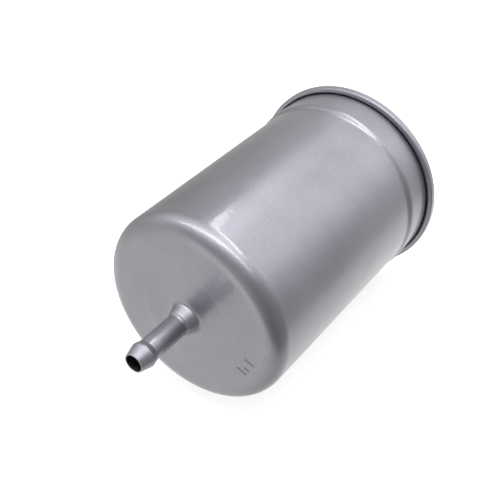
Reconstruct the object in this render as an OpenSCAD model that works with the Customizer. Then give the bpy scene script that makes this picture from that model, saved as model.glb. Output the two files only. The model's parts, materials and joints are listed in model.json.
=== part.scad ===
// In-line fuel filter: a drawn steel can, closed by a cover that is double seamed onto its neck,
// with a brazed hose stub at each end and a spring-loaded pleated element inside.
// The axis of the filter is X. The inlet stub points along -X and the outlet stub along +X.
// The origin is on the axis, half way along the straight wall that a clamp band holds.

/* [Can] */
// Diameter of the straight wall
can_d = 71; // [68:0.5:74]
// Length of the body, from the middle of the front face to the back of the seam
body_l = 104.2; // [100:0.1:130]
// Thickness of the can's sheet
can_t = 0.7; // [0.65:0.05:0.75]
// Depth of the front face's shallow dome
dome_h = 0.9; // [0.5:0.1:2]
// Radius of the corner between the front face and the wall
corner_r = 6.7; // [5:0.1:8]
// How much larger the neck's radius is than the wall's
neck_step = 0.7; // [0.5:0.1:0.9]
// Length of the neck, from the foot of its step to the back of the seam
neck_l = 17.6; // [15:0.1:20]

/* [Cover and seam] */
// Thickness of the cover's sheet
cover_t = 0.6; // [0.55:0.05:0.65]
// Height of the double seam
seam_h = 3.3; // [3.2:0.1:3.8]
// Radius of the seam's outer edges
seam_edge_r = 0.8; // [0.6:0.1:0.9]
// Depth of the groove round the cover, below the back of the seam
groove_depth = 4.8; // [4:0.1:5.5]
// Depth of the cover's middle panel, below the back of the seam
panel_depth = 2.1; // [1.5:0.1:2.5]
// Radius of the middle panel
panel_r = 24; // [20:0.5:26]

/* [Hose stubs] */
// Outer diameter of the tube, which a hose of this bore fits
tube_d = 8; // [7.5:0.1:8.5]
// Bore of the tube
bore_d = 6; // [5.4:0.1:6.2]
// Length of the inlet stub, from the front face to its tip
inlet_stub_l = 25.5; // [20:0.1:30]
// Length of the outlet stub, from the cover's panel to its tip
outlet_stub_l = 24.7; // [20:0.1:30]
// Diameter over the crest of the hose bead
bead_d = 9.06; // [8.8:0.02:9.6]
// Diameter of the tip, in front of the bead
tip_d = 6.82; // [6.7:0.02:7.2]
// Length of the bead, from the tip to the plain tube
bead_l = 7; // [6:0.1:8]
// How far the inlet tube reaches into the can
inlet_reach = 4.7; // [4:0.1:7]
// Length of the outlet tube inside the cover, which carries the element's seal
outlet_reach = 9.4; // [9:0.1:11]

/* [Element] */
// Outer radius of the pleats
pleat_ro = 28.5; // [27:0.1:29]
// Inner radius of the pleats
pleat_ri = 11.3; // [11.2:0.1:12]
// Number of pleats
pleat_count = 52; // [44:1:52]
// Thickness of the filter paper
paper_t = 0.45; // [0.35:0.05:0.5]
// Space from the can's front face to the element, which the spring fills
spring_room = 19.2; // [18:0.1:24]
// Clearance between the seal and the cover when the element is home
home_gap = 0.05; // [0.03:0.01:0.1]

/* [Spring] */
// Diameter of the spring's wire
wire_d = 1.6; // [1.2:0.1:1.8]
// Turns of the spring, with one closed turn at each end
spring_turns = 5; // [4:0.5:6]
// Mean radius of the spring at the can
spring_front_r = 12.6; // [11:0.1:13]
// Mean radius of the spring at the element
spring_back_r = 9.6; // [9:0.1:11]

/* [Hidden] */
$fn = 96;

// Colours
PAINT = [0.66, 0.65, 0.70];
PLATE = [0.80, 0.79, 0.74];
SPRING_STEEL = [0.45, 0.46, 0.48];
PAPER = [0.86, 0.76, 0.50];
POTTING = [0.72, 0.35, 0.16];
RUBBER = [0.10, 0.10, 0.11];
SEALANT = [0.32, 0.42, 0.36];
NYLON = [0.92, 0.91, 0.86];

// Steps in each short arc of an outline
ARC_STEPS = 10;
// Radial gap between a tube and the collar it is brazed into
BRAZE_FIT = 0.05;
// Radial gap under a braze ring
BRAZE_GAP = 0.02;
// Running clearance between the seal and the outlet tube
SEAL_FIT = 0.05;

// Can: the dome and the corner are arcs that meet tangentially, and s counts from the front face
can_r = can_d / 2;
neck_r = can_r + neck_step;
corner_c = can_r - corner_r;
dome_r = (corner_c * corner_c + dome_h * dome_h) / (2 * dome_h);
corner_a = asin(corner_c / (dome_r - corner_r));
wall_s0 = dome_r - sqrt(pow(dome_r - corner_r, 2) - corner_c * corner_c);
wall_s1 = body_l - neck_l;
band_mid = (wall_s0 + wall_s1) / 2;
step_l = 3.6;
step_arc_r = (step_l * step_l + neck_step * neck_step) / (4 * neck_step);
step_a = asin(step_l / (2 * step_arc_r));

// Collars: the sheet is drawn outwards into a cone round each tube
tube_r = tube_d / 2;
bore_r = bore_d / 2;
collar_t = 0.4;
collar_fit_r = tube_r + BRAZE_FIT;
collar_r = collar_fit_r + collar_t;
collar_h = 4.05;
collar_foot_r = 5.8;
collar_fillet = 0.8;
collar_wall = 0.75;
collar_a = atan2(collar_foot_r - collar_r, collar_h);
braze_l = 0.9;
braze_waist_u = 0.36;
braze_waist_t = 0.22;
braze_toe_t = 0.06;
collar_dome_a = asin((collar_foot_r + collar_fillet) / dome_r);
collar_s = dome_r * (1 - cos(collar_dome_a));
collar_tip = collar_s - collar_h;

// Double seam, from the neck outwards: cover hook, body hook and the cover's outer wall
seam_gap = 0.08;
cover_hook_ri = neck_r + seam_gap;
cover_hook_ro = cover_hook_ri + cover_t;
body_hook_ri = cover_hook_ro + seam_gap;
body_hook_ro = body_hook_ri + can_t;
rim_ri = body_hook_ro + seam_gap;
rim_r = rim_ri + cover_t;
chuck_ro = neck_r - can_t - seam_gap;
chuck_ri = chuck_ro - cover_t;
seam_s = body_l - seam_h;
sealant_t = 0.25;
flange_s1 = body_l - cover_t - sealant_t;
flange_s0 = flange_s1 - can_t;
body_hook_s = seam_s + cover_t + seam_gap;
cover_hook_s = flange_s0 - seam_gap;

// Cover
groove_s = body_l - groove_depth;
panel_s = body_l - panel_depth;
groove_arc_r = 1.2;
panel_slope_l = 2.4;
cover_collar_tip = panel_s + collar_h;

// Stubs
inlet_tip = -inlet_stub_l;
outlet_tip = panel_s + outlet_stub_l;
outlet_end = panel_s - outlet_reach;
crest_u = 0.66 * bead_l;
crest_rise = 0.9;
crest_fall = 0.8;
crest_over = 0.16;
crest_front_drop = 0.14;
crest_back_drop = 0.18;

// Spring and its seats
seat_r = 16;
seat_t = 0.6;
seat_lip = 2.4;
seat_lip_t = 0.5;
seat_gap = 0.01;
seat_hole_r = collar_fit_r + 0.4;
seat_s = dome_r - sqrt(pow(dome_r - can_t, 2) - seat_r * seat_r) + seat_gap;
spider_t = 0.5;
spider_gap = 0.1;
spider_s = spring_room - spider_t - spider_gap;
spring_gap = 0.02;
spring_s0 = seat_s + seat_t + spring_gap + wire_d / 2;
spring_s1 = spider_s - spring_gap - wire_d / 2;
closed_pitch = 1.02 * wire_d;
wire_sides = 10;
turn_steps = 24;

// Element
cap_t = 0.6;
cap_margin = 1.8;
cap_r = pleat_ro + cap_margin;
cap_skirt = 5;
potting_t = 2.4;
potting_lip = 1;
potting_ri = 9.4;
potting_fit = 0.05;
potting_ro = cap_r - cap_t - potting_fit;
boss_r = 7.2;
boss_h = 2.4;
cover_face = panel_s - cover_t;
grommet_s1 = cover_face - home_gap;
grommet_proud = 4.05;
grommet_groove_r = tube_r + 2.5;
grommet_fit = 0.05;
out_cap_s = grommet_s1 - grommet_proud;
media_s0 = spring_room + cap_t + potting_t;
media_s1 = out_cap_s - potting_t;
media_l = media_s1 - media_s0;
fold_w = 0.75;
valley_gap = 0.1;
core_fit = 0.2;
core_ro = pleat_ri - core_fit;
core_t = 0.6;
core_hole_d = 4;
core_rows = 9;
screen_t = 0.3;

// Points of an arc from angle a0 to angle a1, without its first point
function arc(c, r, a0, a1) = [
    for (i = [1 : ARC_STEPS])
        let (a = a0 + (a1 - a0) * i / ARC_STEPS)
        [c[0] + r * cos(a), c[1] + r * sin(a)]
];

// Points of a quadratic curve from p0 to p2 that leans towards p1
function curve(p0, p1, p2) = [
    for (i = [0 : ARC_STEPS])
        let (t = i / ARC_STEPS)
        p0 * (1 - t) * (1 - t) + p1 * 2 * t * (1 - t) + p2 * t * t
];

// Outside of a collar from its tip to the face at face_s; way is the side that the tube leaves on
function collar_outside(face_s, way) = concat(
    [[collar_fit_r, face_s + way * collar_h], [collar_r, face_s + way * collar_h]],
    curve([collar_foot_r - collar_fillet * sin(collar_a), face_s + way * collar_fillet * cos(collar_a)],
        [collar_foot_r, face_s],
        [collar_foot_r + collar_fillet, face_s])
);

// Inside of a collar, from the back of the face to the tube
function collar_inside(face_s, way, sheet_t) =
    let (foot_r = collar_foot_r - collar_wall / cos(collar_a) + sheet_t * tan(collar_a))
    [
        [foot_r, face_s - way * sheet_t],
        [collar_fit_r, face_s - way * sheet_t + way * (foot_r - collar_fit_r) / tan(collar_a)]
    ];

// A point at radius r and angle a, shifted sideways by w
function polar(r, a, w = 0) = [r * cos(a) - w * sin(a), r * sin(a) + w * cos(a)];

// Puts a shape drawn along Z, with its heights counted from the front face, onto the filter's axis
module on_axis() {
    translate([-band_mid, 0, 0])
        rotate([0, 90, 0])
            children();
}

// Turns an outline of [radius, s] points round the filter's axis
module turned(points) {
    on_axis()
        rotate_extrude()
            polygon(points);
}

// A plain ring
module ring(ri, ro, s0, s1) {
    turned([[ri, s0], [ro, s0], [ro, s1], [ri, s1]]);
}

// Outside of the can, from the collar's tip to the flange
function can_outside() = concat(
    collar_outside(collar_s, -1),
    arc([0, dome_r], dome_r, -90 + collar_dome_a, -90 + corner_a),
    arc([corner_c, wall_s0], corner_r, -90 + corner_a, 0),
    [[can_r, wall_s1]],
    arc([can_r + step_arc_r, wall_s1], step_arc_r, 180, 180 - step_a),
    arc([neck_r - step_arc_r, wall_s1 + step_l], step_arc_r, -step_a, 0),
    [[neck_r, flange_s0]]
);

// The flange that is curled down into the seam
function can_hook() = [
    [body_hook_ri, flange_s0],
    [body_hook_ri, body_hook_s],
    [body_hook_ro, body_hook_s],
    [body_hook_ro, flange_s1],
    [neck_r - can_t, flange_s1]
];

// Inside of the can, from the flange back to the collar
function can_inside() = concat(
    [[neck_r - can_t, wall_s1 + step_l]],
    arc([neck_r - step_arc_r, wall_s1 + step_l], step_arc_r - can_t, 0, -step_a),
    arc([can_r + step_arc_r, wall_s1], step_arc_r + can_t, 180 - step_a, 180),
    [[can_r - can_t, wall_s0]],
    arc([corner_c, wall_s0], corner_r - can_t, 0, -90 + corner_a),
    arc([0, dome_r], dome_r - can_t, -90 + corner_a, -90 + collar_dome_a),
    collar_inside(collar_s, -1, can_t)
);

module can_shell() {
    color(PAINT)
        turned(concat(can_outside(), can_hook(), can_inside()));
}

// Back of the cover, from the collar's tip to the top of the seam
function cover_back() = concat(
    collar_outside(panel_s, 1),
    [[panel_r, panel_s], [panel_r + panel_slope_l, groove_s], [chuck_ri - groove_arc_r, groove_s]],
    arc([chuck_ri - groove_arc_r, groove_s + groove_arc_r], groove_arc_r, -90, 0),
    [[chuck_ri, body_l - seam_edge_r]],
    arc([chuck_ri + seam_edge_r, body_l - seam_edge_r], seam_edge_r, 180, 90),
    [[rim_r - seam_edge_r, body_l]],
    arc([rim_r - seam_edge_r, body_l - seam_edge_r], seam_edge_r, 90, 0)
);

// Outer wall of the seam and the hook that is curled up under the can's flange
function cover_hook() = concat(
    [[rim_r, seam_s + seam_edge_r]],
    arc([rim_r - seam_edge_r, seam_s + seam_edge_r], seam_edge_r, 0, -90),
    [
        [cover_hook_ri, seam_s],
        [cover_hook_ri, cover_hook_s],
        [cover_hook_ro, cover_hook_s],
        [cover_hook_ro, seam_s + cover_t],
        [rim_ri, seam_s + cover_t],
        [rim_ri, body_l - cover_t],
        [chuck_ro, body_l - cover_t],
        [chuck_ro, groove_s + groove_arc_r]
    ]
);

// Front of the cover, which faces the element
function cover_front() = concat(
    arc([chuck_ri - groove_arc_r, groove_s + groove_arc_r], groove_arc_r + cover_t, 0, -90),
    [[panel_r + panel_slope_l - cover_t / 2, groove_s - cover_t]],
    [[panel_r - cover_t / 2, panel_s - cover_t]],
    collar_inside(panel_s, 1, cover_t)
);

module end_cover() {
    color(PAINT)
        turned(concat(cover_back(), cover_hook(), cover_front()));
}

module seam_sealant() {
    color(SEALANT)
        ring(neck_r - can_t, body_hook_ro, flange_s1, body_l - cover_t);
}

// Outside of a stub, as [radius, distance from the tip]: a cone up to the crest, then the back slope
function bead() = concat(
    [[tip_d / 2, 0]],
    curve([bead_d / 2 - crest_front_drop, crest_u - crest_rise],
        [bead_d / 2 + crest_over, crest_u],
        [bead_d / 2 - crest_back_drop, crest_u + crest_fall]),
    [[tube_r, bead_l]]
);

// A stub with its tip at tip_s and its inner end at end_s
module stub(tip_s, end_s) {
    way = sign(end_s - tip_s);
    color(PAINT)
        turned(concat(
            [[bore_r, tip_s]],
            [for (p = bead()) [p[0], tip_s + way * p[1]]],
            [[tube_r, end_s], [bore_r, end_s]]
        ));
}

module inlet_stub() {
    stub(inlet_tip, inlet_reach);
}

module outlet_stub() {
    stub(outlet_tip, outlet_end);
}

// The fillet of braze between a tube and the end of its collar
module braze_ring(collar_s, way) {
    inner_r = tube_r + BRAZE_GAP;
    color(PAINT)
        turned([
            [inner_r, collar_s],
            [collar_r, collar_s],
            [collar_r - braze_waist_t, collar_s + way * braze_waist_u],
            [inner_r + braze_toe_t, collar_s + way * braze_l],
            [inner_r, collar_s + way * braze_l]
        ]);
}

module inlet_braze_ring() {
    braze_ring(collar_tip, -1);
}

module outlet_braze_ring() {
    braze_ring(cover_collar_tip, 1);
}

// Pressed dish that stands on the can's floor and keeps the spring round the inlet tube
module spring_seat() {
    color(PLATE)
        turned([
            [seat_hole_r, seat_s],
            [seat_r, seat_s],
            [seat_r, seat_s + seat_t + seat_lip],
            [seat_r - seat_lip_t, seat_s + seat_t + seat_lip],
            [seat_r - seat_lip_t, seat_s + seat_t],
            [seat_hole_r, seat_s + seat_t]
        ]);
}

// Height of the wire's middle after t turns: closed end turns, and an even pitch between them
function spring_height(t) =
    let (open_pitch = (spring_s1 - spring_s0 - 2 * closed_pitch) / (spring_turns - 2))
    t < 1 ? spring_s0 + closed_pitch * t
    : t > spring_turns - 1 ? spring_s1 - closed_pitch * (spring_turns - t)
    : spring_s0 + closed_pitch + open_pitch * (t - 1);

// One ring of points round the wire after t turns
function wire_ring(t) =
    let (r = spring_front_r + (spring_back_r - spring_front_r) * t / spring_turns)
    [for (k = [0 : wire_sides - 1])
        let (b = 360 * k / wire_sides, q = r + wire_d / 2 * cos(b))
        [q * cos(360 * t), q * sin(360 * t), spring_height(t) + wire_d / 2 * sin(b)]];

module coil_spring() {
    steps = floor(turn_steps * spring_turns);
    points = [for (i = [0 : steps]) each wire_ring(i / turn_steps)];
    sides = [for (i = [0 : steps - 1], k = [0 : wire_sides - 1])
        let (a = i * wire_sides + k, b = i * wire_sides + (k + 1) % wire_sides)
        [a, a + wire_sides, b + wire_sides, b]];
    first = [for (k = [0 : wire_sides - 1]) k];
    last = [for (k = [wire_sides - 1 : -1 : 0]) steps * wire_sides + k];
    color(SPRING_STEEL)
        on_axis()
            polyhedron(points, concat(sides, [first, last]));
}

// Spring-steel star under the spring: its three legs keep the element in the middle of the can
module centring_spider() {
    hub_margin = 3;
    hub_r = spring_back_r + wire_d + hub_margin;
    hole_r = boss_r + spider_gap;
    leg_w = 9;
    wall_gap = 0.75;
    foot_x = can_r - can_t - wall_gap;
    foot_l = 7;
    color(SPRING_STEEL)
        on_axis()
            translate([0, 0, spider_s])
                difference() {
                    union() {
                        cylinder(r = hub_r, h = spider_t);
                        for (a = [0 : 120 : 240])
                            rotate([0, 0, a]) {
                                translate([0, -leg_w / 2, 0])
                                    cube([foot_x, leg_w, spider_t]);
                                translate([foot_x - spider_t, -leg_w / 2, 0])
                                    cube([spider_t, leg_w, foot_l]);
                            }
                    }
                    translate([0, 0, -1])
                        cylinder(r = hole_r, h = spider_t + 2);
                }
}

// Closed end cap, with a boss that the spider and the spring fit round
module inlet_end_cap() {
    s0 = spring_room;
    color(PLATE)
        turned([
            [0, s0 - boss_h],
            [boss_r, s0 - boss_h],
            [boss_r, s0],
            [cap_r, s0],
            [cap_r, s0 + cap_skirt],
            [cap_r - cap_t, s0 + cap_skirt],
            [cap_r - cap_t, s0 + cap_t],
            [boss_r - cap_t, s0 + cap_t],
            [boss_r - cap_t, s0 - boss_h + cap_t],
            [0, s0 - boss_h + cap_t]
        ]);
}

// Adhesive disc in an end cap, with lips round the pleats' inner and outer edges
module potting(cap_face, way) {
    top = cap_face + way * potting_t;
    lip = top + way * potting_lip;
    lip_root_r = pleat_ro + 0.1;
    lip_ri = pleat_ro + 0.3;
    color(POTTING)
        turned([
            [potting_ri, cap_face],
            [potting_ro, cap_face],
            [potting_ro, lip],
            [lip_ri, lip],
            [lip_root_r, top],
            [potting_ri, top]
        ]);
}

module inlet_potting() {
    potting(spring_room + cap_t, 1);
}

module outlet_potting() {
    potting(out_cap_s, -1);
}

// Folded filter paper: a closed zigzag band of one thickness
module pleated_media() {
    pitch = 360 / pleat_count;
    outside = [for (i = [0 : pleat_count - 1]) each [
        polar(pleat_ro, i * pitch, -fold_w),
        polar(pleat_ro, i * pitch, fold_w),
        polar(pleat_ri + paper_t, (i + 0.5) * pitch, -valley_gap),
        polar(pleat_ri + paper_t, (i + 0.5) * pitch, valley_gap)
    ]];
    inside = [for (i = [0 : pleat_count - 1]) each [
        polar(pleat_ro - paper_t, i * pitch, paper_t - fold_w),
        polar(pleat_ro - paper_t, i * pitch, fold_w - paper_t),
        polar(pleat_ri, (i + 0.5) * pitch, -valley_gap - paper_t),
        polar(pleat_ri, (i + 0.5) * pitch, valley_gap + paper_t)
    ]];
    count = len(outside);
    color(PAPER)
        on_axis()
            translate([0, 0, media_s0])
                linear_extrude(media_l)
                    polygon(concat(outside, inside), [
                        [for (i = [0 : count - 1]) i],
                        [for (i = [0 : count - 1]) count + i]
                    ]);
}

// Channel that is crimped over the pleat where the paper's two ends meet
module media_seam_clip() {
    clip_t = 0.3;
    clip_depth = 5;
    clip_fit = 0.05;
    clip_gap = 0.3;
    clip_s0 = media_s0 + potting_lip + clip_gap;
    clip_l = media_l - 2 * (potting_lip + clip_gap);
    half = fold_w + clip_fit;
    top = pleat_ro + clip_fit;
    color(PLATE)
        on_axis()
            translate([0, 0, clip_s0])
                linear_extrude(clip_l)
                    difference() {
                        translate([top + clip_t - clip_depth, -half - clip_t])
                            square([clip_depth, 2 * (half + clip_t)]);
                        translate([top - clip_depth, -half])
                            square([clip_depth, 2 * half]);
                    }
}

// Nylon band round the middle of the pleats, open where it passes the clip
module pleat_band() {
    band_w = 8;
    band_t = 0.35;
    band_gap = 3.2;
    band_ri = pleat_ro + 0.05;
    color(NYLON)
        on_axis()
            translate([0, 0, (media_s0 + media_s1 - band_w) / 2])
                linear_extrude(band_w)
                    difference() {
                        circle(r = band_ri + band_t);
                        circle(r = band_ri);
                        translate([0, -band_gap / 2])
                            square([2 * pleat_ro, band_gap]);
                    }
}

// Perforated tube that holds the pleats up against the pressure
module centre_tube() {
    row_pitch = media_l / core_rows;
    row_turn = 30;
    color(PLATE)
        on_axis()
            difference() {
                translate([0, 0, media_s0])
                    cylinder(r = core_ro, h = media_l);
                translate([0, 0, media_s0 - 1])
                    cylinder(r = core_ro - core_t, h = media_l + 2);
                for (row = [0 : core_rows - 1])
                    for (a = [0 : 60 : 120])
                        translate([0, 0, media_s0 + (row + 0.5) * row_pitch])
                            rotate([0, 90, a + row_turn * (row % 2)])
                                translate([0, 0, -2 * core_ro])
                                    cylinder(d = core_hole_d, h = 4 * core_ro, $fn = 32);
            }
}

// Fine gauze sleeve that lines the centre tube
module core_screen() {
    screen_fit = 0.05;
    screen_ro = core_ro - core_t - screen_fit;
    color(SPRING_STEEL)
        ring(screen_ro - screen_t, screen_ro, media_s0, media_s1);
}

// End cap with a hole for the seal
module outlet_end_cap() {
    s1 = out_cap_s + cap_t;
    hole_r = grommet_groove_r + grommet_fit;
    color(PLATE)
        turned([
            [hole_r, out_cap_s],
            [cap_r - cap_t, out_cap_s],
            [cap_r - cap_t, s1 - cap_skirt],
            [cap_r, s1 - cap_skirt],
            [cap_r, s1],
            [hole_r, s1]
        ]);
}

// Rubber seal that is snapped into the outlet end cap and slides on the outlet tube
module outlet_grommet() {
    inner_r = tube_r + SEAL_FIT;
    lip_r = tube_r + 4.4;
    lip_l = 2;
    lip_bevel = 1;
    flange_r = tube_r + 6.5;
    flange_bevel = 1.2;
    cap_s1 = out_cap_s + cap_t;
    color(RUBBER)
        turned([
            [inner_r, out_cap_s - lip_l],
            [lip_r - lip_bevel, out_cap_s - lip_l],
            [lip_r, out_cap_s - lip_l + lip_bevel],
            [lip_r, out_cap_s],
            [grommet_groove_r, out_cap_s],
            [grommet_groove_r, cap_s1],
            [flange_r, cap_s1],
            [flange_r, grommet_s1 - flange_bevel],
            [flange_r - flange_bevel, grommet_s1],
            [inner_r, grommet_s1]
        ]);
}

can_shell();
end_cover();
seam_sealant();
inlet_stub();
inlet_braze_ring();
outlet_stub();
outlet_braze_ring();
spring_seat();
coil_spring();
centring_spider();
inlet_end_cap();
inlet_potting();
pleated_media();
media_seam_clip();
pleat_band();
centre_tube();
core_screen();
outlet_potting();
outlet_end_cap();
outlet_grommet();
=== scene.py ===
import bmesh
import bpy
import json
import math
from mathutils import Matrix, Vector, noise


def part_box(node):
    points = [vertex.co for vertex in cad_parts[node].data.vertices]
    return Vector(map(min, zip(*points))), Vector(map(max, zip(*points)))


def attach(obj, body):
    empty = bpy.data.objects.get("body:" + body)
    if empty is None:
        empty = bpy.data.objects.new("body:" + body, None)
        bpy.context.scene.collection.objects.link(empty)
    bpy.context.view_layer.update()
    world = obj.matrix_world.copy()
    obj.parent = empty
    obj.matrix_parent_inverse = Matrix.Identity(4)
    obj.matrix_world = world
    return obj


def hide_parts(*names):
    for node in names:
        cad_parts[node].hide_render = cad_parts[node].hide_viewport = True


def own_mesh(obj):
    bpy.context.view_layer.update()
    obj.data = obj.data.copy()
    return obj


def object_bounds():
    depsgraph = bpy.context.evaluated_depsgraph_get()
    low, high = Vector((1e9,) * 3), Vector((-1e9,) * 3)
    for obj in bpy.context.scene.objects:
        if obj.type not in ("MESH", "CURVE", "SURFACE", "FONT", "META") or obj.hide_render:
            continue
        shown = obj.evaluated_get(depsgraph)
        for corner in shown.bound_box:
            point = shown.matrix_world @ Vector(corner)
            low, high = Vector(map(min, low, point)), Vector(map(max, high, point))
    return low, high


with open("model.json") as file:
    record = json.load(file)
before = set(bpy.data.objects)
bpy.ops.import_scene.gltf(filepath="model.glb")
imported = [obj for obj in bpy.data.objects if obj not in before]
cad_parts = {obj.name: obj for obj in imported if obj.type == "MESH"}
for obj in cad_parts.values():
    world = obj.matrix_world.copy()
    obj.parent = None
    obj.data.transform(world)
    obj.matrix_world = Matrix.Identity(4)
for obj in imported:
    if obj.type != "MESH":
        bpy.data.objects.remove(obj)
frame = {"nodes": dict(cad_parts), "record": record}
CAD_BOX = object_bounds()

# ---------------------------------------------------------------- sizes, in metres
MM = 0.001
MOUNTS = {m["name"]: m for m in frame["record"]["mounts"]}
WALL_R = MOUNTS["body_band"]["dims"]["r_mm"] * MM
BORE_R = MOUNTS["inlet_bore"]["dims"]["r_mm"] * MM
TUBE_R = 4.0 * MM
BRAZE_FIT = 0.05 * MM
BRAZE_GAP = 0.02 * MM
CAN_T = 0.7 * MM
FACE_T = 0.5 * MM
COVER_T = 0.6 * MM
NECK_L = 17.6 * MM
NECK_STEP = 0.7 * MM
STEP_L = 3.6 * MM
FACE_SLOPE = 1.6
CORNER_R = 6.7 * MM
RAMP_R = (16.7 * MM, 19.3 * MM)
RAMP_H = 0.13 * MM
SEAM_H = 3.3 * MM
SEAM_EDGE_R = 0.8 * MM
SEAM_GAP = 0.08 * MM
SEAM_MOUTH = 0.4 * MM
SEAM_MOUTH_L = 1.2 * MM
COLLAR_R = 4.45 * MM
COLLAR_H = 4.05 * MM
COLLAR_FOOT_R = 5.8 * MM
COLLAR_FILLET = 2.2 * MM
COLLAR_LIP_R = 0.15 * MM
PANEL_R = 24.0 * MM
PANEL_DEPTH = 2.1 * MM
PANEL_SLOPE_L = 2.4 * MM
GROOVE_DEPTH = 4.8 * MM
RIM_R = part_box("end_cover")[1].z
HOOK_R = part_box("can_shell")[1].z
SEAM_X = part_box("seam_sealant")[1].x + COVER_T
NECK_R = WALL_R + NECK_STEP
FLOOR_Z = CAD_BOX[0].z

# Edges that turn by more degrees than this are shaded sharp
SHARP_ANGLE = 40


# ---------------------------------------------------------------- outlines of (x, radius) points
def arc(x, r, radius, start, end, steps=12):
    """Points of an arc about (x, r). The angle counts from +radius towards +x, in degrees."""
    out = []
    for i in range(steps + 1):
        a = math.radians(start + (end - start) * i / steps)
        out.append((x + radius * math.sin(a), r + radius * math.cos(a)))
    return out


def rounded(corners, steps=6):
    """A closed outline through (x, r, fillet) corners, with an arc at each corner that has a fillet."""
    out = []
    count = len(corners)
    for i, (x, r, fillet) in enumerate(corners):
        here = Vector((x, r))
        before = Vector(corners[i - 1][:2]) - here
        after = Vector(corners[(i + 1) % count][:2]) - here
        turn = math.pi - before.angle(after)
        if fillet <= 0 or turn < 0.01:
            out.append((x, r))
            continue
        reach = min(fillet * math.tan(turn / 2), before.length * 0.48, after.length * 0.48)
        p0 = here + before.normalized() * reach
        p2 = here + after.normalized() * reach
        for k in range(steps + 1):
            t = k / steps
            # a rational quadratic with this weight is a true arc
            w = math.cos(turn / 2)
            b0, b1, b2 = (1 - t) ** 2, 2 * t * (1 - t) * w, t * t
            p = (p0 * b0 + here * b1 + p2 * b2) / (b0 + b1 + b2)
            out.append((p.x, p.y))
    return out


def spread(points, step):
    """The same closed outline with no stretch longer than step."""
    out = []
    for i, p in enumerate(points):
        q = points[(i + 1) % len(points)]
        length = math.hypot(q[0] - p[0], q[1] - p[1])
        parts = max(1, math.ceil(length / step))
        for k in range(parts):
            t = k / parts
            out.append((p[0] + (q[0] - p[0]) * t, p[1] + (q[1] - p[1]) * t))
    return out


def distinct(points):
    """The outline without points that repeat the one before."""
    out = []
    for p in points:
        if not out or math.hypot(p[0] - out[-1][0], p[1] - out[-1][1]) > 1e-6:
            out.append(p)
    return out


# ---------------------------------------------------------------- mesh tools
def lathe(name, outline, segments=192):
    """A closed outline turned round the X axis, as a closed mesh."""
    outline = distinct(outline)
    bm = bmesh.new()
    rings = []
    for k in range(segments):
        a = 2 * math.pi * k / segments
        rings.append([bm.verts.new((x, r * math.cos(a), r * math.sin(a))) for x, r in outline])
    count = len(outline)
    for k in range(segments):
        here, there = rings[k], rings[(k + 1) % segments]
        for i in range(count):
            j = (i + 1) % count
            bm.faces.new((here[i], here[j], there[j], there[i]))
    bmesh.ops.recalc_face_normals(bm, faces=bm.faces)
    return finished(name, bm)


def finished(name, bm):
    """Turns the bmesh into a smooth shaded object in the scene."""
    mesh = bpy.data.meshes.new(name)
    bm.to_mesh(mesh)
    bm.free()
    mesh.shade_smooth()
    mesh.set_sharp_from_angle(angle=math.radians(SHARP_ANGLE))
    obj = bpy.data.objects.new(name, mesh)
    bpy.context.scene.collection.objects.link(obj)
    return obj


def stand_for(obj, node, body, slot_name, *materials):
    """obj takes the place of a CAD node on its body, with these materials."""
    for mat in materials:
        obj.data.materials.append(mat)
    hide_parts(node)
    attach(obj, body)
    return obj


def paint_faces(obj, index, test):
    """Gives the faces whose centre passes the test another material."""
    for face in obj.data.polygons:
        if test(face.center):
            face.material_index = index


# ---------------------------------------------------------------- can
CORNER_X = -MOUNTS["body_band"]["dims"]["length_mm"] * MM / 2
CORNER_C = WALL_R - CORNER_R
FACE_RISE = math.tan(math.radians(FACE_SLOPE))
STEP_X = SEAM_X - NECK_L
STEP_ARC_R = (STEP_L ** 2 + NECK_STEP ** 2) / (4 * NECK_STEP)
STEP_A = math.degrees(math.asin(STEP_L / (2 * STEP_ARC_R)))
FLANGE_X1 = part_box("can_shell")[1].x
FLANGE_X0 = FLANGE_X1 - CAN_T
BODY_HOOK_X = SEAM_X - SEAM_H + COVER_T + SEAM_GAP

# Three stamped strokes on the front face: angle of the middle from +Y towards +Z, its radius, and length
STROKES = ((-150.0, 25.0 * MM, 4.1 * MM), (-155.5, 26.0 * MM, 2.4 * MM), (-163.5, 25.8 * MM, 4.0 * MM))
STROKE_TURN = -156.0
STROKE_W = 0.52 * MM
STROKE_DEPTH = 0.2 * MM
STROKE_PATCH_R = 5.5 * MM
GROOVE = "groove"
# The wall isn't perfectly true
WAVE_H = 0.035 * MM
WAVE_L = 26.0 * MM


def corner(x, r, radius, start, end, steps):
    """Points of an arc about (x, r), at angles from -X towards the outside."""
    return [(x - radius * math.cos(math.radians(start + (end - start) * i / steps)),
             r + radius * math.sin(math.radians(start + (end - start) * i / steps)))
            for i in range(steps + 1)]


def face_x(r):
    """Where the nearly flat front face is at radius r: a low middle disc, a soft ramp, a ring."""
    edge_x, edge_r = corner(CORNER_X, CORNER_C, CORNER_R, FACE_SLOPE, 90, 1)[0]
    x = edge_x - (edge_r - r) * FACE_RISE
    t = min(1.0, max(0.0, (RAMP_R[1] - r) / (RAMP_R[1] - RAMP_R[0])))
    return x - RAMP_H * t * t * (3 - 2 * t)


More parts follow.
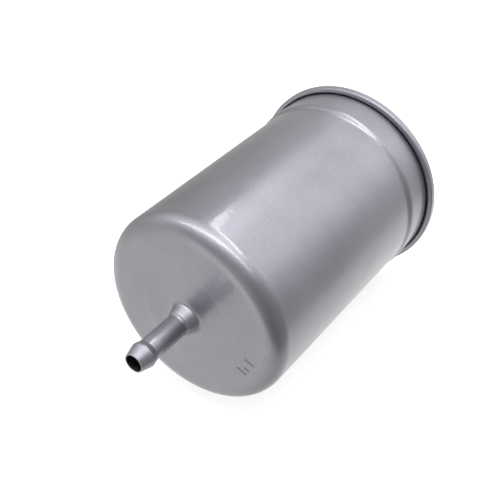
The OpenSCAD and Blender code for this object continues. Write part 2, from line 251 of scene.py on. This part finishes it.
def can_outline():
    """Outside from the collar to the flange, the hook inside the seam, and back along the inside."""
    foot = COLLAR_FOOT_R + COLLAR_FILLET
    collar_x = face_x(COLLAR_FOOT_R)
    tip_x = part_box("can_shell")[0].x
    edge_r = CORNER_C + CORNER_R * math.sin(math.radians(FACE_SLOPE))
    face_r = [foot + (edge_r - foot) * i / 60 for i in range(61)]
    collar = rounded((
        (tip_x, TUBE_R + BRAZE_FIT, 0),
        (tip_x, COLLAR_R, COLLAR_LIP_R),
        (collar_x, COLLAR_FOOT_R, 1.8 * MM),
        (face_x(foot), foot, 0),
    ))
    step_0 = (STEP_X, WALL_R + STEP_ARC_R)
    step_1 = (STEP_X + STEP_L, NECK_R - STEP_ARC_R)
    outside = (
        collar
        + [(face_x(r), r) for r in face_r]
        + corner(CORNER_X, CORNER_C, CORNER_R, FACE_SLOPE, 90, 24)
        + arc(*step_0, STEP_ARC_R, 180, 180 - STEP_A, 14)
        + arc(*step_1, STEP_ARC_R, -STEP_A, 0, 14)
    )
    hook = rounded((
        (FLANGE_X0, NECK_R, 0.1 * MM),
        (FLANGE_X0, HOOK_R - CAN_T, 0.2 * MM),
        (BODY_HOOK_X, HOOK_R - CAN_T, 0.2 * MM),
        (BODY_HOOK_X, HOOK_R, 0.2 * MM),
        (FLANGE_X1, HOOK_R, 0.5 * MM),
        (FLANGE_X1, NECK_R - CAN_T, 0.3 * MM),
    ))
    inside = (
        arc(*step_1, STEP_ARC_R - CAN_T, 0, -STEP_A, 8)
        + arc(*step_0, STEP_ARC_R + CAN_T, 180 - STEP_A, 180, 8)
        + corner(CORNER_X, CORNER_C, CORNER_R - CAN_T, 90, FACE_SLOPE, 12)
        + [(face_x(r) + FACE_T, r) for r in reversed(face_r)]
        + [(collar_x + FACE_T, COLLAR_FOOT_R - FACE_T), (tip_x + 0.9 * MM, TUBE_R + BRAZE_FIT)]
    )
    return spread(distinct(outside + hook + inside), 1.5 * MM)


def stroke_middle(stroke):
    angle, radius, _ = stroke
    return radius * math.cos(math.radians(angle)), radius * math.sin(math.radians(angle))


def stroke_depth(y, z):
    """How deep the stamped strokes are at a point of the front face."""
    depth = 0.0
    turn = math.radians(STROKE_TURN)
    for stroke in STROKES:
        dy, dz = (a - b for a, b in zip((y, z), stroke_middle(stroke)))
        along = dy * math.cos(turn) + dz * math.sin(turn)
        across = dz * math.cos(turn) - dy * math.sin(turn)
        over = max(0.0, abs(along) - stroke[2] / 2 + STROKE_W)
        depth = max(depth, math.exp(-((across ** 2 + over ** 2) / STROKE_W ** 2) ** 1.5))
    return depth * STROKE_DEPTH


def refine_strokes(obj):
    """Finer faces on the outside of the front face where the strokes are stamped."""
    middles = [stroke_middle(s) for s in STROKES]
    y = sum(m[0] for m in middles) / len(middles)
    z = sum(m[1] for m in middles) / len(middles)
    bm = bmesh.new()
    bm.from_mesh(obj.data)
    edges = set()
    for face in bm.faces:
        c = face.calc_center_median()
        if c.x < CORNER_X and face.normal.x < 0 and math.hypot(c.y - y, c.z - z) < STROKE_PATCH_R:
            edges.update(face.edges)
    bmesh.ops.subdivide_edges(bm, edges=list(edges), cuts=5, use_grid_fill=True)
    bm.to_mesh(obj.data)
    bm.free()


def press_details(obj):
    """Stamps the strokes into the front face, and makes the wall slightly untrue."""
    mesh = obj.data
    groove = mesh.attributes.new(GROOVE, "FLOAT", "POINT")
    normals = [v.normal.copy() for v in mesh.vertices]
    for v, normal in zip(mesh.vertices, normals):
        r = math.hypot(v.co.y, v.co.z)
        if normal.x < -0.5 and v.co.x < CORNER_X - CAN_T:
            depth = stroke_depth(v.co.y, v.co.z)
            v.co.x += depth
            # The depth of the strokes is kept for the painted shade in the paint's colour
            groove.data[v.index].value = depth / STROKE_DEPTH
        elif r > WALL_R - CAN_T * 0.4 and CORNER_X < v.co.x < FLANGE_X0 - MM:
            v.co -= normal * WAVE_H * (0.5 + 0.5 * noise.noise(v.co / WAVE_L))


def make_can(paint):
    can = lathe("can", can_outline(), 256)
    refine_strokes(can)
    press_details(can)
    can.data.shade_smooth()
    can.data.set_sharp_from_angle(angle=math.radians(SHARP_ANGLE))
    stand_for(can, "can_shell", "housing", "silver_paint", paint)


# ---------------------------------------------------------------- cover
def cover_outline():
    panel_x = SEAM_X - PANEL_DEPTH
    groove_x = SEAM_X - GROOVE_DEPTH
    hook_ri = NECK_R + SEAM_GAP
    hook_ro = hook_ri + COVER_T
    rim_ri = RIM_R - COVER_T
    chuck_ro = NECK_R - CAN_T - SEAM_GAP
    chuck_ri = chuck_ro - COVER_T
    seam_x = SEAM_X - SEAM_H
    foot = COLLAR_FOOT_R
    return spread(rounded((
        (panel_x + COLLAR_H, TUBE_R + BRAZE_FIT, 0),
        (panel_x + COLLAR_H, COLLAR_R, 0.12 * MM),
        (panel_x, foot, 1.3 * MM),
        (panel_x, PANEL_R, 1.6 * MM),
        (groove_x, PANEL_R + PANEL_SLOPE_L, 1.4 * MM),
        (groove_x, chuck_ri, 1.2 * MM),
        (SEAM_X, chuck_ri, SEAM_EDGE_R),
        (SEAM_X, RIM_R, SEAM_EDGE_R),
        (seam_x, RIM_R, SEAM_EDGE_R),
        (seam_x, hook_ri + SEAM_MOUTH, 0.5 * MM),
        (seam_x + SEAM_MOUTH_L, hook_ri, 0.3 * MM),
        (FLANGE_X0 - SEAM_GAP, hook_ri, 0.1 * MM),
        (FLANGE_X0 - SEAM_GAP, hook_ro, 0.1 * MM),
        (seam_x + COVER_T, hook_ro, 0.15 * MM),
        (seam_x + COVER_T, rim_ri, 0.2 * MM),
        (SEAM_X - COVER_T, rim_ri, 0.2 * MM),
        (SEAM_X - COVER_T, chuck_ro, 0.3 * MM),
        (groove_x - COVER_T, chuck_ro, 1.8 * MM),
        (groove_x - COVER_T, PANEL_R + PANEL_SLOPE_L - COVER_T / 2, 0.8 * MM),
        (panel_x - COVER_T, PANEL_R - COVER_T / 2, 1.0 * MM),
        (panel_x - COVER_T, foot - 0.5 * MM, 0.3 * MM),
        (panel_x + 2.4 * MM, TUBE_R + BRAZE_FIT, 0),
    ), 10), 1.5 * MM)


def make_cover(paint):
    cover = lathe("cover", cover_outline(), 256)
    stand_for(cover, "end_cover", "housing", "silver_paint", paint)


# ---------------------------------------------------------------- hose stubs
BEAD_L = 7.0 * MM
CREST_AT = 4.6 * MM
CREST_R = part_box("inlet_stub")[1].z
TIP_R = 3.41 * MM
BRAZE_LIP = 0.07 * MM
BRAZE_UNEVEN = 0.12 * MM


def stub_outline(tip, end):
    """Outside from the tip over the bead to the inner end, and back along the bore."""
    way = 1 if end > tip else -1
    return [(tip + way * u, r) for u, r in spread(rounded((
        (0.0, BORE_R, 0.08 * MM),
        (0.0, TIP_R, 0.14 * MM),
        (CREST_AT, CREST_R + 0.12 * MM, 1.6 * MM),
        (BEAD_L - 0.3 * MM, TUBE_R, 0.5 * MM),
        (abs(end - tip), TUBE_R, 0.15 * MM),
        (abs(end - tip), BORE_R, 0.1 * MM),
    ), 10), 0.8 * MM)]


def make_stub(name, node, tip, end, paint, bare):
    stub = lathe(name, stub_outline(tip, end), 128)
    paint_faces(stub, 1, lambda c: math.hypot(c.y, c.z) < BORE_R + 0.03 * MM)
    stand_for(stub, node, "housing", "silver_paint", paint, bare)


def make_braze(name, node, way, paint):
    """The fillet of braze at the mouth of a collar, slightly uneven round the tube."""
    lo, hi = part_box(node)
    start, end = (lo.x, hi.x) if way > 0 else (hi.x, lo.x)
    length = end - start
    ring = lathe(name, rounded((
        (start, TUBE_R + BRAZE_GAP, 0),
        (start, COLLAR_R - BRAZE_LIP, 0),
        (start + 0.4 * length, TUBE_R + 0.08 * MM, 0.8 * MM),
        (end, TUBE_R + BRAZE_GAP, 0),
    )), 96)
    for v in ring.data.vertices:
        if math.hypot(v.co.y, v.co.z) > TUBE_R + 0.06 * MM and abs(v.co.x - start) > 0.1 * MM:
            v.co.x += BRAZE_UNEVEN * way * noise.noise(v.co / (3 * MM))
    stand_for(ring, node, "housing", "silver_paint", paint)


# ---------------------------------------------------------------- spring
WIRE_R = 0.8 * MM
SPRING_TURNS = 5
SPRING_R = (12.6 * MM, 9.6 * MM)
CLOSED_PITCH = 2.04 * WIRE_R


def spring_x(turn, start, end):
    """Where the wire's middle is after some turns: closed end turns, an even pitch between them."""
    if turn < 1:
        return start + CLOSED_PITCH * turn
    if turn > SPRING_TURNS - 1:
        return end - CLOSED_PITCH * (SPRING_TURNS - turn)
    pitch = (end - start - 2 * CLOSED_PITCH) / (SPRING_TURNS - 2)
    return start + CLOSED_PITCH + pitch * (turn - 1)


def make_spring(wire, per_turn=60, sides=16):
    """The conical coil spring, built at the length of its CAD part; in the real filter it shortens as the
    element lifts.
    """
    lo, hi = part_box("coil_spring")
    bm = bmesh.new()
    rings = []
    for i in range(SPRING_TURNS * per_turn + 1):
        turn = i / per_turn
        a = 2 * math.pi * turn
        x = spring_x(turn, lo.x + WIRE_R, hi.x - WIRE_R)
        coil_r = SPRING_R[0] + (SPRING_R[1] - SPRING_R[0]) * turn / SPRING_TURNS
        ring = []
        for k in range(sides):
            b = 2 * math.pi * k / sides
            r = coil_r + WIRE_R * math.cos(b)
            ring.append(bm.verts.new((x + WIRE_R * math.sin(b), r * math.sin(a), -r * math.cos(a))))
        rings.append(ring)
    for here, there in zip(rings, rings[1:]):
        for k in range(sides):
            j = (k + 1) % sides
            bm.faces.new((here[k], here[j], there[j], there[k]))
    bm.faces.new(rings[0])
    bm.faces.new(rings[-1])
    bmesh.ops.recalc_face_normals(bm, faces=bm.faces)
    spring = stand_for(finished("spring", bm), "coil_spring", "housing", "spring_steel", wire)
    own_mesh(spring)


# ---------------------------------------------------------------- materials
class Nodes:
    """Short names for building one material's nodes."""

    def __init__(self, name):
        self.mat = bpy.data.materials.new(name)
        self.mat.use_nodes = True
        self.tree = self.mat.node_tree
        self.shader = self.tree.nodes["Principled BSDF"]
        self.place = self.add("ShaderNodeTexCoord").outputs["Object"]

    def add(self, kind, **values):
        node = self.tree.nodes.new(kind)
        for key, value in values.items():
            setattr(node, key, value)
        return node

    def link(self, a, b):
        self.tree.links.new(a, b)

    def set(self, **values):
        for key, value in values.items():
            self.shader.inputs[key.replace("_", " ")].default_value = value

    def noise(self, size, detail=3.0, stretch=(1, 1, 1)):
        """Noise whose largest features are about size metres across."""
        mapping = self.add("ShaderNodeMapping")
        mapping.inputs["Scale"].default_value = [s / size for s in stretch]
        self.link(self.place, mapping.inputs["Vector"])
        tex = self.add("ShaderNodeTexNoise")
        tex.inputs["Scale"].default_value = 1.0
        tex.inputs["Detail"].default_value = detail
        self.link(mapping.outputs["Vector"], tex.inputs["Vector"])
        return tex.outputs["Fac"]

    def calc(self, kind, *values):
        """The result of a Math node on numbers or sockets."""
        node = self.add("ShaderNodeMath", operation=kind)
        for value, socket in zip(values, node.inputs):
            if isinstance(value, bpy.types.NodeSocket):
                self.link(value, socket)
            else:
                socket.default_value = value
        return node.outputs["Value"]

    def ramp(self, fac, low, high, lo_at=0.3, hi_at=0.7):
        """A colour that goes from low to high as fac goes from lo_at to hi_at."""
        node = self.add("ShaderNodeValToRGB")
        node.color_ramp.elements[0].position = lo_at
        node.color_ramp.elements[1].position = hi_at
        node.color_ramp.elements[0].color = (*low, 1)
        node.color_ramp.elements[1].color = (*high, 1)
        self.link(fac, node.inputs["Fac"])
        return node.outputs["Color"]

    def span(self, fac, low, high, lo_at=0.3, hi_at=0.7):
        """A number that goes from low to high as fac goes from lo_at to hi_at."""
        node = self.add("ShaderNodeMapRange")
        node.inputs["From Min"].default_value = lo_at
        node.inputs["From Max"].default_value = hi_at
        node.inputs["To Min"].default_value = low
        node.inputs["To Max"].default_value = high
        self.link(fac, node.inputs["Value"])
        return node.outputs["Result"]

    def bump(self, height, distance, over=None):
        node = self.add("ShaderNodeBump")
        node.inputs["Distance"].default_value = distance
        node.inputs["Strength"].default_value = 1.0
        self.link(height, node.inputs["Height"])
        if over:
            self.link(over, node.inputs["Normal"])
        return node.outputs["Normal"]


PAINT_LOW = (0.425, 0.415, 0.475)
PAINT_HIGH = (0.485, 0.475, 0.54)
# Painted shade: the colour the stamped strokes darken to at their deepest
GROOVE_SHADE_COLOUR = (0.2, 0.195, 0.215, 1)
FLAKES = 1.0
FLAKE_SIZE = 0.6 * MM
CLOUD_SIZE = 18 * MM


def silver_paint():
    """Metallic silver paint under a clear coat, with clouding, flakes, orange peel, and painted shade that
    darkens the stamped strokes by their depth.
    """
    m = Nodes("silver_paint")
    m.set(Metallic=1.0, Coat_Weight=1.0, Coat_Roughness=0.04, Coat_IOR=1.6)
    flakes = m.calc("MULTIPLY_ADD", m.noise(FLAKE_SIZE, 1.0), FLAKES, -FLAKES / 2)
    clouds = m.ramp(m.calc("ADD", m.noise(CLOUD_SIZE, 4.0), flakes), PAINT_LOW, PAINT_HIGH)
    groove = m.add("ShaderNodeAttribute", attribute_name=GROOVE)
    # Painted shade in the stamped strokes, mixed in by the depth of each groove
    groove_shade = m.add("ShaderNodeMix", data_type="RGBA")
    groove_shade.inputs["B"].default_value = GROOVE_SHADE_COLOUR
    m.link(groove.outputs["Fac"], groove_shade.inputs["Factor"])
    m.link(clouds, groove_shade.inputs["A"])
    m.link(groove_shade.outputs["Result"], m.shader.inputs["Base Color"])
    m.link(m.span(m.noise(7 * MM, 3.0), 0.36, 0.42), m.shader.inputs["Roughness"])
    peel = m.bump(m.noise(2.2 * MM, 2.0), 0.012 * MM)
    grain = m.bump(m.noise(0.9 * MM, 1.0), 0.02 * MM, peel)
    m.link(grain, m.shader.inputs["Coat Normal"])
    return m.mat


def steel(name, low, high, roughness, grain=(1, 1, 1)):
    """Bare or plated steel with drawing marks along the direction that grain is small in."""
    m = Nodes(name)
    m.set(Metallic=1.0)
    marks = m.noise(1.2 * MM, 5.0, grain)
    m.link(m.ramp(marks, low, high), m.shader.inputs["Base Color"])
    m.link(m.span(marks, roughness - 0.06, roughness + 0.08), m.shader.inputs["Roughness"])
    m.link(m.bump(marks, 0.01 * MM), m.shader.inputs["Normal"])
    return m.mat


def soft(name, low, high, roughness, size, height):
    """A non-metal with clouded colour and a fine uneven surface."""
    m = Nodes(name)
    tex = m.noise(size, 5.0)
    m.link(m.ramp(tex, low, high), m.shader.inputs["Base Color"])
    m.link(m.span(tex, roughness - 0.05, roughness + 0.05), m.shader.inputs["Roughness"])
    m.link(m.bump(tex, height), m.shader.inputs["Normal"])
    return m.mat


def dress_inner_nodes(finishes):
    """Gives each CAD node that still shows the material of its slot."""
    slots = {s["node"]: s["material_slot"] for s in frame["record"]["subparts"]}
    for name, node in frame["nodes"].items():
        if node.hide_render:
            continue
        node.data.materials.clear()
        node.data.materials.append(finishes[slots[name]])


# ---------------------------------------------------------------- camera, lights and floor
VIEW_AZIMUTH = -54.9
VIEW_ELEVATION = 37.56
VIEW_DISTANCE = 0.3049
VIEW_AIM = Vector((-10.7, 0.0, 4.84)) * MM
LENS_MM = 63.09


def toward(azimuth, elevation):
    """The direction from the object to a viewer at that azimuth and elevation."""
    a, e = math.radians(azimuth), math.radians(elevation)
    return Vector((math.sin(a) * math.cos(e), -math.cos(a) * math.cos(e), math.sin(e)))


def make_camera():
    data = bpy.data.cameras.new("camera")
    data.sensor_width = 36.0
    data.lens = LENS_MM
    data.clip_start = 0.01
    camera = bpy.data.objects.new("camera", data)
    back = toward(VIEW_AZIMUTH, VIEW_ELEVATION)
    camera.location = VIEW_AIM + back * VIEW_DISTANCE
    camera.rotation_euler = back.to_track_quat("Z", "Y").to_euler()
    bpy.context.scene.collection.objects.link(camera)
    bpy.context.scene.camera = camera


LAMP_DISTANCE = 1.5


def strip_lamp(name, middle, along, width, length, radiance):
    """A long narrow lamp seen in that direction, width and length in degrees of view."""
    middle = Vector(middle).normalized()
    across = middle.cross(Vector(along)).normalized()
    data = bpy.data.lights.new(name, "AREA")
    data.shape = "ELLIPSE"
    data.size = 2 * LAMP_DISTANCE * math.tan(math.radians(length / 2))
    data.size_y = 2 * LAMP_DISTANCE * math.tan(math.radians(width / 2))
    data.energy = radiance * math.pi ** 2 / 4 * data.size * data.size_y
    lamp = bpy.data.objects.new(name, data)
    turn = Matrix((across.cross(middle), across, middle)).transposed().to_4x4()
    turn.translation = middle * LAMP_DISTANCE
    lamp.matrix_world = turn
    lamp.visible_camera = False
    bpy.context.scene.collection.objects.link(lamp)


def make_lamps():
    strip_lamp("lamp_over_wall", middle=(0.44, -0.1, 0.89), along=(-0.45, -0.77, 0.16),
               width=7.5, length=58.0, radiance=4.0)
    strip_lamp("lamp_over_face", middle=(-0.25, 0.0, 0.97), along=(0, 1, 0),
               width=6.0, length=90.0, radiance=5.0)


FLOOR_HALF = 4.0
FLOOR_GLOW = 0.7


def make_floor():
    bm = bmesh.new()
    for x, y in ((-1, -1), (1, -1), (1, 1), (-1, 1)):
        bm.verts.new((x * FLOOR_HALF, y * FLOOR_HALF, FLOOR_Z))
    bm.faces.new(bm.verts)
    floor = finished("floor", bm)
    m = Nodes("floor_white")
    white = m.ramp(m.noise(0.5, 2.0), (0.93, 0.93, 0.93), (0.95, 0.95, 0.95))
    m.set(Roughness=0.9, Specular_IOR_Level=0.1, Emission_Strength=FLOOR_GLOW)
    m.link(white, m.shader.inputs["Base Color"])
    m.link(white, m.shader.inputs["Emission Color"])
    floor.data.materials.append(m.mat)
    floor.visible_glossy = False


# What the paint mirrors: the soft lights of a studio as (direction, tightness, brightness)
GLOWS = (
    ((0, 0, 1), 4, 1.5),       # ceiling
    ((-1, 0, 0), 4, 0.5),      # wall that the front face looks at
    ((1, 0, 0), 12, 4.0),      # window behind the seam
    ((1, -1, 1), 12, 1.0),     # soft box high on the near side
    ((0, 1, 1), 12, 0.5),      # soft box high on the far side
    ((0, -1, 0), 4, 0.3),      # wall on the near side
    ((1, 0, -1), 8, 0.5),      # floor behind
    ((1, -1, -1), 8, 0.3),     # floor behind on the near side
    ((0, 1, -1), 8, 0.5),      # floor on the far side
)
# The table top, a sheet with a crisp edge: nothing of it shows on the side TABLE_EDGE points to
TABLE_GLOW = ((-1.0, 0.0, -0.3), 0.5, 0.68)
TABLE_EDGE = (-0.11, -0.67, 0.74)
TABLE_EDGE_SOFT = 0.09
TABLE_TINT = (0.82, 0.8, 0.76, 1)
STUDIO_TINT = (0.8, 0.8, 0.8, 1)
PLAIN_GLOW = 0.48
WHITE = (1, 1, 1, 1)


class WorldNodes:
    """Short names for building the studio's surroundings."""

    def __init__(self, world):
        world.use_nodes = True
        self.tree = world.node_tree
        self.tree.nodes.clear()
        self.way = self.tree.nodes.new("ShaderNodeTexCoord").outputs["Generated"]

    def add(self, kind):
        return self.tree.nodes.new(kind)

    def put(self, value, socket):
        if isinstance(value, bpy.types.NodeSocket):
            self.tree.links.new(value, socket)
        else:
            socket.default_value = value

    def calc(self, kind, a, b):
        """The result of a Math node on two numbers or sockets."""
        node = self.add("ShaderNodeMath")
        node.operation = kind
        self.put(a, node.inputs[0])
        self.put(b, node.inputs[1])
        return node.outputs["Value"]

    def glow(self, direction, tightness, brightness):
        """brightness at the direction, falling off round it."""
        dot = self.add("ShaderNodeVectorMath")
        dot.operation = "DOT_PRODUCT"
        self.put(self.way, dot.inputs[0])
        self.put(Vector(direction).normalized(), dot.inputs[1])
        away = self.calc("MULTIPLY", self.calc("SUBTRACT", dot.outputs["Value"], 1.0), tightness)
        return self.calc("MULTIPLY", self.calc("POWER", math.e, away), brightness)

    def within(self, edge, soft):
        """Zero on the side of a flat edge that its normal points to, one on the other."""
        dot = self.add("ShaderNodeVectorMath")
        dot.operation = "DOT_PRODUCT"
        self.put(self.way, dot.inputs[0])
        self.put(Vector(edge).normalized(), dot.inputs[1])
        step = self.add("ShaderNodeMapRange")
        step.interpolation_type = "SMOOTHSTEP"
        step.inputs["From Min"].default_value, step.inputs["From Max"].default_value = -soft, soft
        step.inputs["To Min"].default_value, step.inputs["To Max"].default_value = 1.0, 0.0
        self.put(dot.outputs["Value"], step.inputs["Value"])
        return step.outputs["Result"]

    def background(self, strength, tint=STUDIO_TINT):
        node = self.add("ShaderNodeBackground")
        self.put(tint, node.inputs["Color"])
        self.put(strength, node.inputs["Strength"])
        return node.outputs["Background"]


def make_world():
    """Pale and plain to the camera and on the floor; in reflections, a studio with a dark side."""
    world = bpy.data.worlds.new("studio")
    bpy.context.scene.world = world
    w = WorldNodes(world)
    world.cycles.sampling_method = "NONE"
    table = w.calc("MULTIPLY", w.glow(*TABLE_GLOW), w.within(TABLE_EDGE, TABLE_EDGE_SOFT))
    total = 0.0
    for glow in GLOWS:
        total = w.calc("ADD", total, w.glow(*glow))
    path = w.add("ShaderNodeLightPath")
    plain = w.calc("MAXIMUM", path.outputs["Is Camera Ray"], PLAIN_GLOW)
    mix = w.add("ShaderNodeMixShader")
    w.put(path.outputs["Is Glossy Ray"], mix.inputs[0])
    w.put(w.background(plain, WHITE), mix.inputs[1])
    mirrored = w.add("ShaderNodeAddShader")
    w.put(w.background(table, TABLE_TINT), mirrored.inputs[0])
    w.put(w.background(total), mirrored.inputs[1])
    w.put(mirrored.outputs[0], mix.inputs[2])
    out = w.add("ShaderNodeOutputWorld")
    w.put(mix.outputs[0], out.inputs["Surface"])


# ---------------------------------------------------------------- the build
bpy.context.scene.view_settings.view_transform = "Standard"
make_camera()
make_world()
make_lamps()
make_floor()

paint = silver_paint()
bare = steel("bare_steel", (0.10, 0.10, 0.11), (0.16, 0.16, 0.17), 0.45, (0.2, 1, 1))
finishes = {
    "silver_paint": paint,
    "seam_compound": soft("seam_compound", (0.12, 0.19, 0.15), (0.2, 0.3, 0.25), 0.6, 1 * MM, 0.02 * MM),
    "plated_steel": steel("plated_steel", (0.60, 0.58, 0.50), (0.78, 0.76, 0.68), 0.35, (0.15, 1, 1)),
    "spring_steel": steel("spring_steel", (0.28, 0.29, 0.31), (0.45, 0.46, 0.48), 0.38),
    "plastisol": soft("plastisol", (0.50, 0.15, 0.05), (0.68, 0.27, 0.11), 0.42, 3 * MM, 0.08 * MM),
    "filter_paper": soft("filter_paper", (0.72, 0.57, 0.30), (0.86, 0.73, 0.45), 0.85, 0.5 * MM, 0.04 * MM),
    "nylon_band": soft("nylon_band", (0.78, 0.77, 0.70), (0.90, 0.89, 0.82), 0.5, 0.8 * MM, 0.03 * MM),
    "seal_rubber": soft("seal_rubber", (0.02, 0.02, 0.02), (0.045, 0.045, 0.05), 0.55, 0.7 * MM, 0.02 * MM),
}
make_can(paint)
make_cover(paint)
inlet_lo, inlet_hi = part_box("inlet_stub")
outlet_lo, outlet_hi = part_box("outlet_stub")
make_stub("inlet_tube", "inlet_stub", inlet_lo.x, inlet_hi.x, paint, bare)
make_stub("outlet_tube", "outlet_stub", outlet_hi.x, outlet_lo.x, paint, bare)
make_braze("inlet_braze", "inlet_braze_ring", -1, paint)
make_braze("outlet_braze", "outlet_braze_ring", 1, paint)
make_spring(finishes["spring_steel"])
dress_inner_nodes(finishes)
